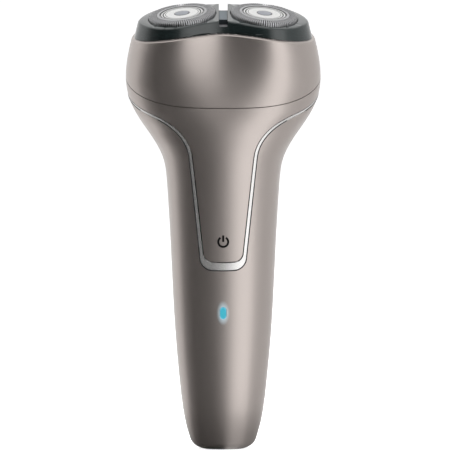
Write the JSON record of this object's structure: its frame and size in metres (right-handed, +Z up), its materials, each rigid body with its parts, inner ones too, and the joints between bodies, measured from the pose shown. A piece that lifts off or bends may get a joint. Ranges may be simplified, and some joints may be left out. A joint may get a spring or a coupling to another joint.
{
  "type": "electric shaver",
  "caption": "Upright rotary shaver: tapering handle, slanted collar with a press panel, two-lobed head with sprung slotted guards that lifts off a hair chamber.",
  "frame": {"origin": "in the foot's underside, under the middle of the whole width and depth", "axes": "+Z up along the handle, front with the press panel faces -Y"},
  "size_m": [0.065, 0.0366, 0.1485],
  "materials": {
    "body_paint": "taupe metallic lacquer on moulded plastic, satin gloss",
    "trim_silver": "satin silver plating",
    "light_lens": "clear pale blue lens",
    "lamp": "lit blue-green indicator",
    "frame_gloss": "high gloss green-black",
    "latch_grey": "pale blue-grey moulding",
    "guard_steel": "finely slotted steel",
    "cap_bright": "bright turned disc",
    "button_grey": "grey moulding",
    "cutter_steel": "ground blades",
    "inner_plastic": "dark moulding",
    "gear_nylon": "natural nylon",
    "spring_steel": "plain steel",
    "motor_steel": "zinc plated can",
    "contact_brass": "plain brass",
    "cell_wrap": "green shrink wrap on a steel cell",
    "cell_link": "nickel strip",
    "board_green": "solder mask",
    "part_black": "black moulding"
  },
  "bodies": {
    "handle": {"handle_housing": "body_paint", "trim_band": "trim_silver", "rear_collar": "body_paint", "hair_chamber": "body_paint", "light_window": "light_lens", "led_lamp": "lamp", "gear_plate": "inner_plastic", "gear_plate_screws": "spring_steel", "motor_screws": "spring_steel", "motor_can": "motor_steel", "motor_end_cap": "inner_plastic", "motor_terminals": "contact_brass", "chassis": "inner_plastic", "battery_left": "cell_wrap", "battery_right": "cell_wrap", "battery_link": "cell_link", "battery_tabs": "cell_link", "circuit_board": "board_green", "switch_body": "inner_plastic", "charge_coil": "part_black", "board_capacitors": "part_black", "inlet_socket": "part_black", "inlet_pins": "contact_brass"},
    "panel": {"front_panel": "body_paint"},
    "plunger": {"switch_plunger": "gear_nylon"},
    "rotor": {"motor_armature": "motor_steel", "motor_shaft": "spring_steel", "drive_pinion": "contact_brass"},
    "shaving_unit": {"head_frame": "frame_gloss", "retaining_frame": "inner_plastic", "centre_latch": "latch_grey"},
    "gear_left": {"drive_gear_left": "gear_nylon", "spindle_spring_left": "spring_steel"},
    "coupling_left": {"spindle_left": "gear_nylon"},
    "head_left": {"guard_left": "guard_steel", "guard_cap_left": "cap_bright", "guard_button_left": "button_grey"},
    "blades_left": {"cutter_left": "cutter_steel"},
    "gear_right": {"drive_gear_right": "gear_nylon", "spindle_spring_right": "spring_steel"},
    "coupling_right": {"spindle_right": "gear_nylon"},
    "head_right": {"guard_right": "guard_steel", "guard_cap_right": "cap_bright", "guard_button_right": "button_grey"},
    "blades_right": {"cutter_right": "cutter_steel"}
  },
  "joints": [
    {"name": "power_press", "type": "hinge", "parent": "handle", "child": "panel", "pos_m": [0, -0.00007, 0.12195], "axis": [1, 0, 0], "range_deg": [0, 0.43], "stiffness_Nm_per_rad": 11, "springref_deg": -0.46},
    {"name": "plunger_press", "type": "slide", "parent": "handle", "child": "plunger", "axis": [0, 1, 0], "range_m": [0, 0.0004]},
    {"name": "motor_spin", "type": "hinge", "parent": "handle", "child": "rotor", "pos_m": [0, -0.00308, 0.1426], "axis": [0, -0.2164, 0.9763], "continuous": true},
    {"name": "unit_lift", "type": "slide", "parent": "handle", "child": "shaving_unit", "axis": [0, -0.2164, 0.9763], "range_m": [0, 0.025]},
    {"name": "gear_left_spin", "type": "hinge", "parent": "handle", "child": "gear_left", "pos_m": [-0.0132, -0.00308, 0.1426], "axis": [0, -0.2164, 0.9763], "continuous": true},
    {"name": "spindle_left_slide", "type": "slide", "parent": "gear_left", "child": "coupling_left", "axis": [0, -0.2164, 0.9763], "range_m": [-0.0012, 0]},
    {"name": "head_left_float", "type": "slide", "parent": "shaving_unit", "child": "head_left", "axis": [-0.1097, -0.2151, 0.9704], "range_m": [-0.0012, 0], "stiffness_N_per_m": 600, "springref_m": 0.0012, "deforming": ["spindle_spring_left"]},
    {"name": "cutter_left_spin", "type": "hinge", "parent": "head_left", "child": "blades_left", "pos_m": [-0.01375, -0.00383, 0.14601], "axis": [-0.1097, -0.2151, 0.9704], "continuous": true},
    {"name": "gear_right_spin", "type": "hinge", "parent": "handle", "child": "gear_right", "pos_m": [0.0132, -0.00308, 0.1426], "axis": [0, -0.2164, 0.9763], "continuous": true},
    {"name": "spindle_right_slide", "type": "slide", "parent": "gear_right", "child": "coupling_right", "axis": [0, -0.2164, 0.9763], "range_m": [-0.0012, 0]},
    {"name": "head_right_float", "type": "slide", "parent": "shaving_unit", "child": "head_right", "axis": [0.1097, -0.2151, 0.9704], "range_m": [-0.0012, 0], "stiffness_N_per_m": 600, "springref_m": 0.0012, "deforming": ["spindle_spring_right"]},
    {"name": "cutter_right_spin", "type": "hinge", "parent": "head_right", "child": "blades_right", "pos_m": [0.01375, -0.00383, 0.14601], "axis": [0.1097, -0.2151, 0.9704], "continuous": true}
  ],
  "couplings": [
    {"joint": "plunger_press", "follows": "power_press", "m_per_rad": 0.05295},
    {"joint": "gear_left_spin", "follows": "motor_spin", "ratio": -0.375},
    {"joint": "cutter_left_spin", "follows": "motor_spin", "ratio": -0.375},
    {"joint": "spindle_left_slide", "follows": "head_left_float", "ratio": 0.99396},
    {"joint": "gear_right_spin", "follows": "motor_spin", "ratio": -0.375},
    {"joint": "cutter_right_spin", "follows": "motor_spin", "ratio": -0.375},
    {"joint": "spindle_right_slide", "follows": "head_right_float", "ratio": 0.99396}
  ]
}
